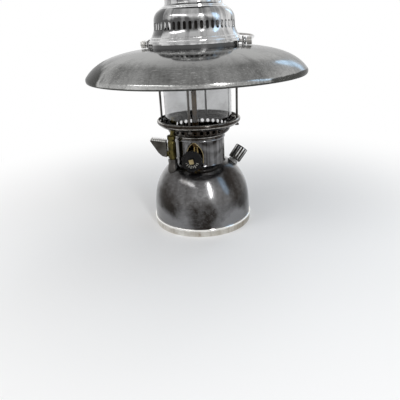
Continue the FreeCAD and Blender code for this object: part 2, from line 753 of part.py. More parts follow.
def preheater_base():
    """Round union with a hexagonal top, and its threaded stem inside the tank."""
    nut = hexagon(13.6, 6.0, ZERO, Z)
    nut.rotate(ZERO, Z, PRE_AZ + 30.0)
    nut.translate(polar(PRE_R, PRE_AZ, PRE_LOW - 6.0))
    foot = turned([[(0, 0), (9.4, 0)], [(9.4, 0), (9.2, 8.0), (8.2, 12.0), (7.2, 16.5)],
                   [(7.2, 16.5), (0, 16.5)], [(0, 16.5), (0, 0)]])
    foot.translate(polar(PRE_R, PRE_AZ, PRE_LOW - 22.0))
    stem = Part.makeCylinder(5.0, 21.0, polar(PRE_R, PRE_AZ, PRE_LOW - 26.0))
    bore = Part.makeCylinder(1.3 + RUN, 19.0, polar(PRE_R, PRE_AZ, PRE_LOW - 17.0))
    return nut.fuse(foot).cut(tank_body()).fuse(stem).cut(bore).removeSplitter()


def preheater_body():
    """Turned brass body with two waists and the bore of the valve stem."""
    r = PRE_D / 2
    low = PRE_LOW
    top = PRE_TOP
    form = turned([[(1.6, low), (r - 1.2, low)], [(r - 1.2, low), (r - 1.2, low + 2.0)],
                   [(r - 1.2, low + 2.0), (r, low + 2.6)], [(r, low + 2.6), (r, top - 13.0)],
                   [(r, top - 13.0), (r - 0.9, top - 10.5), (r - 0.9, top - 8.5), (r, top - 6.0)],
                   [(r, top - 6.0), (r, top - 1.0)], [(r, top - 1.0), (r - 1.0, top)],
                   [(r - 1.0, top), (1.6, top)], [(1.6, top), (1.6, low)]])
    form.translate(polar(PRE_R, PRE_AZ))
    return form


def preheater_torch():
    """Inclined torch tube whose mouth stands inside the globe."""
    start, end = torch_path()
    run = end.sub(start)
    run.normalize()
    tube = pipe(TORCH_D, TORCH_D - 2.0, start - run * 2.0, end)
    return tube.cut(Part.makeBox(60, 60, 20, polar(PRE_R, PRE_AZ, PRE_TOP - 20) - vec(30, 30, 0)))


def lever_frame(shape):
    """Carries a shape drawn beside the body (X outward, Z up) to the lever's direction."""
    shape = shape.copy()
    shape.rotate(ZERO, Z, LEVER_AZ)
    shape.translate(polar(PRE_R, PRE_AZ))
    return shape


def lever_pin():
    half = LEVER_W / 2 + 0.8
    start = vec(LEVER_PIVOT_L, -half, LEVER_PIVOT_Z)
    return lever_frame(rod(LEVER_PIN_D, start, start + Y * 2 * half))


def lever_bracket():
    """Lug brazed to the body between the cheeks of the lever."""
    reach = LEVER_PIVOT_L
    lug = Part.makeBox(reach, 9.0, 8.0, vec(0, -4.5, LEVER_PIVOT_Z - 4.0))
    nose = Part.makeCylinder(4.0, 9.0, vec(reach, -4.5, LEVER_PIVOT_Z), Y)
    hole = Part.makeCylinder(LEVER_PIN_D / 2, 12.0, vec(reach, -6, LEVER_PIVOT_Z), Y)
    bore = Part.makeCylinder(PRE_D / 2, 40, vec(0, 0, LEVER_PIVOT_Z - 20))
    return lever_frame(lug.fuse(nose).cut(hole.fuse(bore)).removeSplitter())


def preheater_lever():
    """Folded sheet lever: ribbed thumb pad on top, two triangular cheeks on the pin."""
    inner = LEVER_W / 2 - LEVER_T
    outline = [(8.2, 149.0), (33.5, 153.2), (34.0, 151.2), (22.0, 131.4), (16.0, 125.4),
               (8.6, 123.4), (8.2, 149.0)]
    plate = Part.Face(Part.makePolygon([vec(a, 0, b) for a, b in outline]))
    cheeks = []
    for y in (-LEVER_W / 2, inner):
        cheek = plate.extrude(vec(0, LEVER_T, 0))
        cheek.translate(vec(0, y, 0))
        cheeks.append(cheek)
    top = [(8.2, 149.0), (33.5, 153.2), (33.4, 152.1), (8.2, 147.9), (8.2, 149.0)]
    pad = Part.Face(Part.makePolygon([vec(a, 0, b) for a, b in top])).extrude(vec(0, LEVER_W, 0))
    pad.translate(vec(0, -LEVER_W / 2, 0))
    ribs = []
    for i in range(8):
        at = 11.4 + 3.0 * i
        height = 149.4 + (at - 8.2) * 4.2 / 25.3
        ribs.append(Part.makeCylinder(RIB_R, LEVER_W, vec(at, -LEVER_W / 2, height), Y))
    hole = Part.makeCylinder(LEVER_PIN_D / 2 + RUN, 30, vec(LEVER_PIVOT_L, -15, LEVER_PIVOT_Z), Y)
    return lever_frame(cheeks[0].fuse([cheeks[1], pad] + ribs).cut(hole).removeSplitter())


def preheater_stem():
    return rod(2.6, polar(PRE_R, PRE_AZ, PRE_LOW - 8.0), polar(PRE_R, PRE_AZ, PRE_TOP - 4.0))


# ---- hood ----

def hood_drum():
    """Lower stage: skirt gated for the screws, flared lip, slotted drum, rounded shoulder."""
    skirt = [(HOOD_SKIRT_R, SHADE_TOP), (HOOD_SKIRT_R, HOOD_LIP_Z - 0.6)]
    step = [(HOOD_SKIRT_R, HOOD_LIP_Z - 0.6), (HOOD_LIP_R, HOOD_LIP_Z)]
    flare = [(HOOD_LIP_R, HOOD_LIP_Z), (70.6, 299.6), (68.6, 303.2), (64.9, 309.6), (62.6, 315.0),
             (61.8, 321.0)]
    drum = [(61.8, 321.0), (61.5, 329.0)]
    shoulder = [(61.5, 329.0), (60.3, 334.4), (56.8, 340.0), (51.5, 344.2), (46.4, 347.6),
                (44.0, 349.6), (HOOD_NECK_R, HOOD_NECK_Z)]
    wall = pressed([skirt, step, flare, drum, shoulder], SHEET)
    beads = [ring_bead(70.0, 300.6, 0.8), ring_bead(67.6, 304.8, 0.8),
             ring_bead(50.6, 344.8, 0.8), ring_bead(47.6, 346.8, 0.8)]
    wall = wall.fuse(beads)
    half = SLOT_H / 2 - SLOT_W / 2
    slot = Part.makeBox(20, SLOT_W, 2 * half, vec(52, -SLOT_W / 2, SLOT_Z - half))
    for z in (SLOT_Z - half, SLOT_Z + half):
        slot = slot.fuse(Part.makeCylinder(SLOT_W / 2, 20, vec(52, 0, z), X))
    gate_w = SCREW_D + 1.4
    gate = Part.makeBox(20, gate_w, PIVOT_Z - SHADE_TOP + 5, vec(62, -gate_w / 2, SHADE_TOP - 5))
    gate = gate.fuse(Part.makeCylinder(gate_w / 2, 20, vec(62, 0, PIVOT_Z), X))
    return wall.cut(Part.makeCompound(spun(slot, SLOT_COUNT) + spun(gate, 2)))


def hood_crown():
    """Upper stage: narrow drum with a row of round holes."""
    r = HOOD_NECK_R
    drum = [(r, HOOD_NECK_Z), (r, CROWN_TOP - 3.0)]
    turn_in = [(r, CROWN_TOP - 3.0), (r - 0.8, CROWN_TOP - 0.8), (r - 3.0, CROWN_TOP)]
    flat = [(r - 3.0, CROWN_TOP), (30.0, CROWN_TOP)]
    wall = pressed([drum, turn_in, flat], SHEET)
    drill = Part.makeCylinder(CROWN_HOLE_D / 2, 20, vec(35, 0, (HOOD_NECK_Z + CROWN_TOP) / 2), X)
    return wall.cut(Part.makeCompound(spun(drill, CROWN_HOLES)))


def hood_cap():
    """Domed rain cap with an overhanging rim."""
    seat = CROWN_TOP + SHEET
    rim = [(CAP_R, seat - 5.0), (CAP_R, seat - 1.6)]
    turn_in = [(CAP_R, seat - 1.6), (CAP_R - 0.6, seat - 0.5), (CAP_R - 2.0, seat)]
    ledge = [(CAP_R - 2.0, seat), (39.0, seat)]
    dome = [(39.0, seat), (36.0, seat + 2.6), (28.0, seat + 7.0), (18.0, CAP_TOP - 1.4), (8.0, CAP_TOP)]
    return pressed([rim, turn_in, ledge, dome, [(8.0, CAP_TOP), (3.0, CAP_TOP)]], SHEET)


def hood_bolt():
    """Centre bolt and cross bar that draw the cap onto the crown."""
    bolt = Part.makeCylinder(2.9, TOTAL_H - 3.0 - CROWN_TOP + 4.0, vec(0, 0, CROWN_TOP - 4.0))
    bar = Part.makeBox(72.0, 8.0, 1.2, vec(-36.0, -4.0, CROWN_TOP - 2.0))
    return bolt.fuse(bar)


def hood_nut():
    """Domed nut on top of the hood."""
    r = NUT_D / 2
    low = CAP_TOP
    body = turned([[(2.9, low), (r, low)], [(r, low), (r, low + 5.0)],
                   [(r, low + 5.0), (r - 0.7, low + 8.0), (r - 3.0, TOTAL_H - 1.2), (0, TOTAL_H)],
                   [(0, TOTAL_H), (0, TOTAL_H - 3.0)], [(0, TOTAL_H - 3.0), (2.9, TOTAL_H - 3.0)],
                   [(2.9, TOTAL_H - 3.0), (2.9, low)]])
    flute = Part.makeCylinder(0.8, 6.0, polar(r + 0.3, 0, low))
    return body.cut(Part.makeCompound(spun(flute, 18)))


# ---- bail and thumb screws ----

def bail_handle():
    """Wire bail: an eye round each thumb screw, a joggle, straight arms and a half circle."""
    r = BAIL_WIRE / 2
    eye_r = SCREW_D / 2 + 0.4 + r
    arms = []
    for side in (1, -1):
        spots = [(BAIL_EYE_X, eye_r), (BAIL_EYE_X, 10.0), (BAIL_HALF, 19.0), (BAIL_HALF, BAIL_STRAIGHT)]
        spots = [vec(side * x, y, 0) for x, y in spots]
        arms += [rod(BAIL_WIRE, a, b) for a, b in zip(spots, spots[1:])]
        arms += [Part.makeSphere(r, spot) for spot in spots[1:3]]
        arms.append(Part.makeTorus(eye_r, r, vec(side * BAIL_EYE_X, 0, 0), X))
    bow = Part.makeTorus(BAIL_HALF, r, ZERO, Z, -180, 180, 180)
    bow.translate(vec(0, BAIL_STRAIGHT, 0))
    wire = bow.fuse(arms)
    wire.rotate(ZERO, X, BAIL_REST)
    wire.translate(vec(0, 0, PIVOT_Z))
    return wire


def thumb_screw(side):
    """Knurled screw through an ear, its tip in the gate of the hood's skirt."""
    shank = Part.makeCylinder(SCREW_D / 2, 15.0, vec(0, 0, -15.0))
    head = knurled(SCREW_HEAD_D, SCREW_HEAD_L, 20, 0.6)
    screw = head.fuse(shank)
    return placed(screw, vec(side * (BAIL_EYE_X + 2.4 + 0.6), 0, PIVOT_Z), X * side)


NODES = [
    ("foot_ring", foot_ring), ("tank_bottom", tank_bottom), ("tank_shell", tank_shell),
    ("tank_boss", tank_boss), ("collar", collar), ("gallery_bowl", gallery_bowl),
    ("gallery_flange", gallery_flange), ("frame_rods", frame_rods), ("rod_ferrules", rod_ferrules),
    ("top_ring", top_ring), ("globe_glass", globe_glass), ("reflector_shade", reflector_shade),
    ("valve_body", valve_body), ("pickup_tube", pickup_tube), ("pickup_strainer", pickup_strainer),
    ("vaporizer_tube", vaporizer_tube), ("vaporizer_loop", vaporizer_loop),
    ("jet_nozzle", jet_nozzle), ("mixing_tube", mixing_tube), ("mixing_chamber", mixing_chamber),
    ("burner_nozzle", burner_nozzle), ("mantle", mantle),
    ("chimney_foot", chimney_foot), ("inner_chimney", inner_chimney),
    ("burner_bracket", burner_bracket), ("needle_rod", needle_rod),
    ("wheel_spindle", wheel_spindle), ("hand_wheel", hand_wheel), ("wheel_nut", wheel_nut),
    ("pump_barrel", pump_barrel), ("pump_flange", pump_flange), ("pump_cap", pump_cap),
    ("pump_rod", pump_rod), ("pump_knob", pump_knob), ("pump_piston", pump_piston),
    ("check_valve", check_valve), ("filler_neck", filler_neck), ("filler_gasket", filler_gasket),
    ("filler_cap", filler_cap), ("gauge_case", gauge_case), ("gauge_dial", gauge_dial),
    ("gauge_needle", gauge_needle), ("gauge_glass", gauge_glass), ("bleed_screw", bleed_screw),
    ("preheater_base", preheater_base), ("preheater_body", preheater_body),
    ("preheater_torch", preheater_torch), ("lever_bracket", lever_bracket),
    ("lever_pin", lever_pin), ("preheater_lever", preheater_lever),
    ("preheater_stem", preheater_stem), ("hood_drum", hood_drum), ("hood_crown", hood_crown),
    ("hood_cap", hood_cap), ("hood_bolt", hood_bolt), ("hood_nut", hood_nut),
    ("bail_handle", bail_handle),
    ("thumb_screw_right", lambda: thumb_screw(1)), ("thumb_screw_left", lambda: thumb_screw(-1)),
]


def main():
    os.makedirs("parts", exist_ok=True)
    for name, make in NODES:
        shape = make()
        shape.exportStep(os.path.join("parts", name + ".step"))
        box = shape.BoundBox
        print("%-18s solids %d valid %s volume %8.0f  z %.1f..%.1f" % (
            name, len(shape.Solids), shape.isValid(), shape.Volume, box.ZMin, box.ZMax))


main()
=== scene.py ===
import bpy, json, math
from mathutils import Matrix, Vector, noise


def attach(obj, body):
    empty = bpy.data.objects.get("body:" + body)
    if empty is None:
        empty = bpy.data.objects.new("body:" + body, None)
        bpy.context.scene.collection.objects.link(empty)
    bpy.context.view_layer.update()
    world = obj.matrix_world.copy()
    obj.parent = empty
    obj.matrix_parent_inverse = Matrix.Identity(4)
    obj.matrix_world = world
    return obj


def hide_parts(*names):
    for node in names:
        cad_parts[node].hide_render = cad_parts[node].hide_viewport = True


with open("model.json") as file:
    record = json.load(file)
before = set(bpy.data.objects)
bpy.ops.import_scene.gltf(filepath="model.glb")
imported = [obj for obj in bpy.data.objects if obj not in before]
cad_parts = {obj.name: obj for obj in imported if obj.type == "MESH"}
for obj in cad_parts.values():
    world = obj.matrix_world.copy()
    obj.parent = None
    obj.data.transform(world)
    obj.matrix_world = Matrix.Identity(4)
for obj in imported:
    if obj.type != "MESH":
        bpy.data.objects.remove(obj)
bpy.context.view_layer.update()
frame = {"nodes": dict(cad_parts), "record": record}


# A socket that takes part in sums. What stands on the other side is a socket or a number.
class Wire:
    def __init__(self, shader, socket):
        self.shader = shader
        self.socket = socket

    def math(self, operation, first, second):
        return self.shader.node("ShaderNodeMath", {"operation": operation}, {0: first, 1: second})

    def __add__(self, other):
        return self.math("ADD", self, other)

    def __radd__(self, other):
        return self.math("ADD", other, self)

    def __sub__(self, other):
        return self.math("SUBTRACT", self, other)

    def __rsub__(self, other):
        return self.math("SUBTRACT", other, self)

    def __mul__(self, other):
        return self.math("MULTIPLY", self, other)

    def __rmul__(self, other):
        return self.math("MULTIPLY", other, self)

    def __truediv__(self, other):
        return self.math("DIVIDE", self, other)

    def __pow__(self, other):
        return self.math("POWER", self, other)

    def larger(self, other):
        return self.math("MAXIMUM", self, other)


def setStops(ramp, stops):
    while len(ramp.elements) < len(stops):
        ramp.elements.new(0.5)
    for element, (place, shade) in zip(ramp.elements, stops):
        element.position = place
        element.color = (shade, shade, shade, 1)


# The nodes of one material, or of the world.
class Shader:
    def __init__(self, owner):
        owner.use_nodes = True
        self.owner = owner
        self.tree = owner.node_tree
        self.tree.nodes.clear()

    # A node's settings are set first, then the values or links of its sockets.
    def node(self, kind, settings=None, inputs=None, out=0):
        made = self.tree.nodes.new(kind)
        for key, value in (settings or {}).items():
            if key == "stops":
                setStops(made.color_ramp, value)
            else:
                setattr(made, key, value)
        for key, value in (inputs or {}).items():
            if isinstance(value, Wire):
                self.tree.links.new(value.socket, made.inputs[key])
            else:
                made.inputs[key].default_value = value
        if isinstance(out, tuple):
            return [Wire(self, made.outputs[name]) for name in out]
        return Wire(self, made.outputs[out]) if made.outputs else None

    def place(self):
        return self.node("ShaderNodeTexCoord", out="Object")

    def axes(self, where):
        return self.node("ShaderNodeSeparateXYZ", None, {0: where}, out=("X", "Y", "Z"))

    def noise(self, where, scale, detail=4.0, rough=0.55, twist=0.0):
        return self.node("ShaderNodeTexNoise", None, {
            "Vector": where, "Scale": scale, "Detail": detail, "Roughness": rough, "Distortion": twist})

    # Each stop is a place on the ramp and its brightness there.
    def ramp(self, value, stops):
        return self.node("ShaderNodeValToRGB", {"stops": stops}, {"Fac": value})

    def mask(self, where, scale, stops, detail=4.0, rough=0.55, twist=0.0):
        return self.ramp(self.noise(where, scale, detail, rough, twist), stops)

    # From low to high, with a soft step, while the value goes from start to end.
    def step(self, value, start, end, low=0.0, high=1.0):
        return self.node("ShaderNodeMapRange", {"interpolation_type": "SMOOTHSTEP"},
                         {0: value, 1: start, 2: end, 3: low, 4: high})

    def vector(self, operation, inputs, out=0):
        return self.node("ShaderNodeVectorMath", {"operation": operation}, inputs, out)

    def blend(self, amount, first, second):
        return self.node("ShaderNodeMix", {"data_type": "RGBA"}, {0: amount, 6: first, 7: second}, out=2)

    def bump(self, height, strength, distance):
        return self.node("ShaderNodeBump", None,
                         {"Height": height, "Strength": strength, "Distance": distance})

    def principled(self, inputs, normal=None):
        if normal is not None:
            inputs["Normal"] = normal
        return self.finish(self.node("ShaderNodeBsdfPrincipled", None, inputs))

    def finish(self, surface, output="ShaderNodeOutputMaterial"):
        self.node(output, None, {"Surface": surface})
        return self.owner


def newShader(name):
    return Shader(bpy.data.materials.new(name))


def colour(values):
    return tuple(values) + (1,)


# Where a fitting sits on the tank's shoulder, and how far it leans out there, in degrees.
pumpSeat = {"radius": 0.0612, "azimuth": 33.4, "height": 0.0946, "tilt": 39.8}
gaugeSeat = {"radius": 0.0575, "azimuth": 100.0, "height": 0.0988, "tilt": 42.0}


# A point on the fitting's axis, and the axis's direction.
def leaning(seat):
    turn, lean = math.radians(seat["azimuth"]), math.radians(seat["tilt"])
    out = Vector((math.cos(turn), math.sin(turn), 0))
    point = out * seat["radius"] + Vector((0, 0, seat["height"]))
    return point, out * math.sin(lean) + Vector((0, 0, math.cos(lean)))


axisSpace = {"tiny": 0.0001, "climb": 1.7}  # tiny keeps a point on the axis from a division by zero


# The direction away from the lantern's axis, the height, and the distance from the axis.
def fromAxis(shader):
    x, y, z = shader.axes(shader.place())
    radius = (x * x + y * y) ** 0.5 + axisSpace["tiny"]
    return x / radius, y / radius, z, radius


# Round the axis and along the sheet, so that marks follow a spun or turned form.
def turnedPlace(shader, turns, along):
    x, y, z, radius = fromAxis(shader)
    return shader.node("ShaderNodeCombineXYZ", None, {
        0: x * turns, 1: y * turns, 2: (radius + z * axisSpace["climb"]) * along})


# 1 below a height and 0 above it, with a soft step between.
def below(shader, height, soft):
    return shader.step(shader.axes(shader.place())[2], height + soft, height - soft)


patchEdge = {"scale": 32.0, "detail": 4.0, "rough": 0.6, "twist": 0.8}
patchWaver = 1.6


# A soft area of painted reflection round a place that its azimuth and height give, with a wavering edge;
# a positive amount paints it darker and a negative one lighter.
def paintedReflectionPatch(shader, azimuth, height, spread, tall, sharp):
    x, y, z, radius = fromAxis(shader)
    away = (x - math.cos(math.radians(azimuth))) / spread
    aside = (y - math.sin(math.radians(azimuth))) / spread
    above = (z - height) / tall
    waver = shader.noise(shader.place(), **patchEdge) - 0.5
    distance = away * away + aside * aside + above * above + waver * patchWaver
    return shader.step(distance, 1.0 + sharp, 1.0 - sharp)


grooveRamp = {"end": 0.9, "fadeIn": 0.05, "fadeOut": 0.06}


# Painted shade in the hollows that lie between two distances from a line.
def grooves(shader, line, inner, outer):
    point, along = line
    away = shader.vector("SUBTRACT", {0: shader.place(), 1: point})
    across = shader.vector("CROSS_PRODUCT", {0: away, 1: along})
    distance = shader.vector("LENGTH", {0: across}, "Value")
    end = grooveRamp["end"]
    start = end * inner / outer
    return shader.ramp(distance / outer * end, [
        (start - grooveRamp["fadeIn"], 0), (start, 1), (end - grooveRamp["fadeOut"], 1), (end, 0)])


# Each run of scratches has a slant and a length along the line.
scratchMarks = {"runs": [(0.6, 14.0), (2.1, 20.0)], "tilt": (0.3, 0.2), "fine": 1100.0,
                "detail": 2.0, "stops": [(0.63, 0), (0.68, 1)]}


# Fine lines that run across the sheet.
def scratches(shader, look):
    lines = []
    for slant, length in look["runs"]:
        turned = shader.node("ShaderNodeMapping", None, {
            "Vector": shader.place(), "Rotation": (*look["tilt"], slant),
            "Scale": (length, look["fine"], look["fine"])})
        lines.append(shader.mask(turned, 1.0, look["stops"], look["detail"]))
    return sum(lines)


# Patterns that every metal shares.
metalMarks = {
    "mottle": {"detail": 8.0, "rough": 0.7, "stops": [(0.40, 0), (0.64, 1)]},
    "band": {"detail": 2.0, "stops": [(0.42, 0), (0.58, 1)]}, "bandAlong": 2.0,
    "streak": {"detail": 5.0, "rough": 0.6, "stops": [(0.45, 0), (0.68, 1)]}, "streakAlong": 5.0,
    "ring": [(0.0, 0.2), (0.27, 0.35), (0.36, 1), (0.40, 0), (1.0, 0)],
    "wet": {"detail": 2.0, "stops": [(0.56, 0), (0.68, 1)]}, "wetScale": 2.3,
    "turned": {"detail": 3.0, "rough": 0.75}, "turnedHigh": 0.6,
    "grain": {"scale": 900.0, "detail": 3.0}, "grainHigh": 0.4,
    "wornDeep": 0.5, "wornRough": 0.05, "reliefDepth": 0.0001,
    "polish": 0.8, "highlightEdge": 0.0003}


# How much of the metal is tarnished, and where shade, highlights and reflections are painted on it.
# Clouds, bands, wiped streaks, mottling and dried drops are all over it, less the scratches, and then
# come painted shade below one height, painted highlight lines at given heights, painted reflections
# round given places and painted shade in one fitting's flutes.
def tarnishAndPaintedLight(shader, look, worn):
    where = shader.place()
    cloud = shader.mask(where, look["cloudSize"], [(look["cloudFrom"], 0), (look["cloudTo"], 1)],
                        look["cloudDetail"], twist=look["twist"])
    mottle = shader.mask(where, look["mottleSize"], **metalMarks["mottle"])
    bandPlace = turnedPlace(shader, look["bandCount"], metalMarks["bandAlong"])
    band = shader.mask(bandPlace, 1.0, **metalMarks["band"])
    streakPlace = turnedPlace(shader, look["streakCount"], metalMarks["streakAlong"])
    streak = shader.mask(streakPlace, 1.0, **metalMarks["streak"])
    drops = shader.node("ShaderNodeTexVoronoi", None, {"Vector": where, "Scale": look["dropSize"]})
    ring = shader.ramp(drops, metalMarks["ring"])
    wet = shader.mask(where, look["cloudSize"] * metalMarks["wetScale"], **metalMarks["wet"])
    darkening = cloud * look["clouds"] + mottle * look["mottling"] + streak * look["streaks"]
    darkening = darkening + band * look["bands"] + ring * wet * look["drops"] - worn * look["scratches"]
    darkening = darkening + look["film"]
    for height, soft, amount in look["levels"]:
        darkening = darkening + below(shader, height, soft) * amount
    for height, half in look["polished"]:
        top, foot = [below(shader, height + side, metalMarks["highlightEdge"]) for side in (half, -half)]
        darkening = darkening - (top - foot) * metalMarks["polish"]
    for azimuth, height, spread, tall, sharp, amount in look["patches"]:
        darkening = darkening + paintedReflectionPatch(shader, azimuth, height, spread, tall, sharp) * amount
    for line, inner, outer, amount in look["grooves"]:
        darkening = darkening + grooves(shader, line, inner, outer) * amount
    return darkening


def metalFinish(name, look):
    shader = newShader(name)
    worn = scratches(shader, scratchMarks)
    darkening = tarnishAndPaintedLight(shader, look, worn)
    turned = shader.noise(turnedPlace(shader, 0.0, look["turnSize"]), 1.0, **metalMarks["turned"])
    grain = shader.noise(shader.place(), **metalMarks["grain"])
    base = shader.blend(darkening, colour(look["colour"]), colour(look["darkColour"]))
    rough = look["rough"] + darkening * look["dulling"] + turned * look["turning"]
    height = turned * metalMarks["turnedHigh"] + grain * metalMarks["grainHigh"]
    return shader.principled(
        {"Base Color": base, "Roughness": rough + worn * metalMarks["wornRough"], "Metallic": 1.0,
         "Specular Tint": colour(look["edge"])},
        shader.bump(height - worn * metalMarks["wornDeep"], look["relief"], metalMarks["reliefDepth"]))


# The lists hold, row by row: painted shade below a height, as the height, its softness and the amount;
# painted highlight lines, as a height and half the width; painted reflections, as azimuth, height,
# spread, tallness, softness and amount; painted shade round a fitting's axis, as its line, the inner and
# outer distance from it and the amount.
plain = {"cloudSize": 20.0, "cloudDetail": 4.0, "twist": 0.4, "cloudFrom": 0.44, "cloudTo": 0.66,
         "mottleSize": 85.0, "streakCount": 9.0, "bandCount": 3.0, "dropSize": 75.0, "turnSize": 900.0,
         "clouds": 0.50, "mottling": 0.25, "streaks": 0.25, "bands": 0.25, "drops": 0.2,
         "scratches": 0.15, "dulling": 0.12, "turning": 0.05, "rough": 0.12, "relief": 0.08,
         "edge": (1, 1, 1), "film": 0.0, "levels": [], "polished": [], "patches": [], "grooves": []}
metals = {
    "nickel_tank": dict(plain, colour=(0.26, 0.26, 0.265), darkColour=(0.028, 0.024, 0.021),
                        cloudSize=8.0, cloudDetail=3.0, twist=1.2, cloudFrom=0.36,
                        streakCount=5.0, streaks=0.10, bandCount=1.6, bands=0.15, mottling=0.16,
                        mottleSize=140.0, dulling=0.04, scratches=0.25, drops=0.3,
                        # painted reflections on the tank: dark and light patches round given azimuths
                        patches=[(240, 0.072, 0.50, 0.045, 0.6, 0.55),
                                 (283, 0.032, 0.26, 0.034, 0.6, 0.60),
                                 (222, 0.016, 0.52, 0.022, 0.7, -0.80),
                                 (322, 0.016, 0.34, 0.020, 0.7, -0.60),
                                 (338, 0.074, 0.36, 0.040, 0.7, 0.60),
                                 (120, 0.050, 0.40, 0.040, 0.8, 0.40)]),
    "dark_nickel": dict(plain, colour=(0.42, 0.42, 0.42), darkColour=(0.035, 0.03, 0.026), rough=0.06,
                        cloudSize=55.0, clouds=0.6, mottling=0.3, streakCount=20.0),
    "knob_nickel": dict(plain, colour=(0.86, 0.86, 0.85), darkColour=(0.030, 0.028, 0.025), rough=0.07,
                        # painted shade in the knob's flutes and at its foot
                        cloudSize=55.0, clouds=0.35, grooves=[(leaning(pumpSeat), 0.0103, 0.0119, 0.9)]),
    # very dark nickel, set on the preheater's base
    "darkened_nickel": dict(plain, colour=(0.10, 0.095, 0.09), darkColour=(0.025, 0.022, 0.019), rough=0.22),
    "bottom_plate": dict(plain, colour=(0.34, 0.33, 0.31), darkColour=(0.15, 0.12, 0.09), rough=0.30),
    "nickel_foot": dict(plain, colour=(0.92, 0.91, 0.88), darkColour=(0.30, 0.25, 0.18), rough=0.07,
                        # painted highlight line along the foot's bead
                        clouds=0.30, bands=0.15, mottling=0.15, film=0.25, polished=[(0.0115, 0.0022)]),
    "nickel_collar": dict(plain, colour=(0.21, 0.21, 0.215), darkColour=(0.016, 0.014, 0.012), rough=0.05,
                          cloudSize=24.0, cloudDetail=2.0, twist=1.2, clouds=0.65, streaks=0.15,
                          # painted highlight line along the collar's top bead
                          bandCount=5.0, bands=0.4, polished=[(0.1489, 0.0016)]),
    "nickel_gallery": dict(plain, colour=(0.55, 0.53, 0.50), darkColour=(0.026, 0.021, 0.017),
                           cloudSize=30.0, clouds=0.3, film=0.68,
                           # painted highlight lines along the gallery's beads and flange
                           polished=[(0.1550, 0.0016), (0.1738, 0.0013), (0.1800, 0.0010)]),
    "steel_rods": dict(plain, colour=(0.18, 0.175, 0.17), darkColour=(0.045, 0.04, 0.035), rough=0.24),
    "steel_ring": dict(plain, colour=(0.32, 0.32, 0.32), darkColour=(0.12, 0.11, 0.10), rough=0.22),
    "nickel_shade": dict(plain, colour=(0.56, 0.56, 0.55), darkColour=(0.060, 0.060, 0.056), rough=0.10,
                         cloudSize=9.0, cloudDetail=6.0, twist=0.6, clouds=0.40, mottleSize=260.0,
                         mottling=0.20, streakCount=11.0, streaks=0.18, bandCount=1.6, bands=0.30,
                         drops=0.30, scratches=0.5, dulling=0.10, turning=0.04, relief=0.12,
                         # painted shade under the rolled lip; painted reflections: a dark zone on the
                         # left, a dark band under the right lip, a darker patch at the back and a
                         # lighter zone under the hood
                         edge=(0.6, 0.6, 0.6), levels=[(0.2486, 0.0008, 1.0)],
                         patches=[(196, 0.255, 0.62, 0.022, 0.30, 1.10),
                                  (344, 0.2505, 0.50, 0.0045, 0.3, 0.80),
                                  (75, 0.256, 0.45, 0.012, 0.80, 0.40),
                                  (283, 0.283, 0.90, 0.010, 0.8, -0.50)]),
    "brass_parts": dict(plain, colour=(0.34, 0.25, 0.10), darkColour=(0.10, 0.065, 0.028), rough=0.20),
    "brass_nut": dict(plain, colour=(0.40, 0.33, 0.18), darkColour=(0.12, 0.09, 0.05), rough=0.24),
    "brass_vaporizer": dict(plain, colour=(0.18, 0.11, 0.045), darkColour=(0.050, 0.032, 0.018),
                            rough=0.30),
    "tarnished_brass": dict(plain, colour=(0.13, 0.108, 0.036), darkColour=(0.016, 0.014, 0.007),
                            rough=0.13, cloudSize=60.0, clouds=0.7),
    "steel_inner": dict(plain, colour=(0.09, 0.085, 0.08), darkColour=(0.026, 0.022, 0.019), rough=0.40),
    "nickel_fittings": dict(plain, colour=(0.80, 0.79, 0.77), darkColour=(0.12, 0.11, 0.09), rough=0.07,
                            cloudSize=60.0, clouds=0.3, streakCount=20.0, streaks=0.15, mottling=0.15),
    "steel_lever": dict(plain, colour=(0.085, 0.082, 0.075), darkColour=(0.026, 0.023, 0.019), rough=0.20,
                        cloudSize=50.0),
    "nickel_hood": dict(plain, colour=(0.80, 0.80, 0.80), darkColour=(0.085, 0.085, 0.085), rough=0.06,
                        cloudSize=15.0, clouds=0.22, mottling=0.12, streakCount=14.0, streaks=0.18,
                        # painted shade on the skirt below the lip, painted highlight lines along the
                        # beads, and painted reflections: dark patches round the drum and crown and a
                        # lighter band on the lower drum
                        bandCount=4.5, bands=0.42, levels=[(0.2953, 0.0008, 1.0)],
                        polished=[(0.3006, 0.0007), (0.3048, 0.0007), (0.3448, 0.0007),
                                  (0.3468, 0.0007)],
                        patches=[(222, 0.325, 0.50, 0.020, 0.5, 0.65),
                                 (355, 0.322, 0.22, 0.016, 0.4, 0.5),
                                 (276, 0.3222, 0.70, 0.0095, 0.6, 0.75),
                                 (110, 0.325, 0.50, 0.020, 0.4, 0.55),
                                 (283, 0.3640, 1.20, 0.0120, 0.6, 0.35),
                                 (272, 0.3050, 0.90, 0.0080, 0.6, -0.30)]),
    "steel_wire": dict(plain, colour=(0.70, 0.70, 0.70), darkColour=(0.24, 0.22, 0.20), rough=0.14)}


glassBody = {"rough": 0.01, "index": 1.47, "smoked": 0.5, "roughened": 0.05}
glassHaze = {"scale": 30.0, "detail": 3.0, "stops": [(0.45, 0), (0.75, 1)]}
glassLooks = {
    "clear_glass": {"tint": (0.66, 0.665, 0.67), "smoke": (0.42, 0.415, 0.41)},
    "gauge_glass": {"tint": (0.97, 0.97, 0.97), "smoke": (0.86, 0.86, 0.84)}}


def glassFinish(name, look):
    shader = newShader(name)
    haze = shader.mask(shader.place(), **glassHaze)
    base = shader.blend(haze * glassBody["smoked"], colour(look["tint"]), colour(look["smoke"]))
    return shader.principled({
        "Base Color": base, "Roughness": glassBody["rough"] + haze * glassBody["roughened"],
        "IOR": glassBody["index"], "Transmission Weight": 1.0})


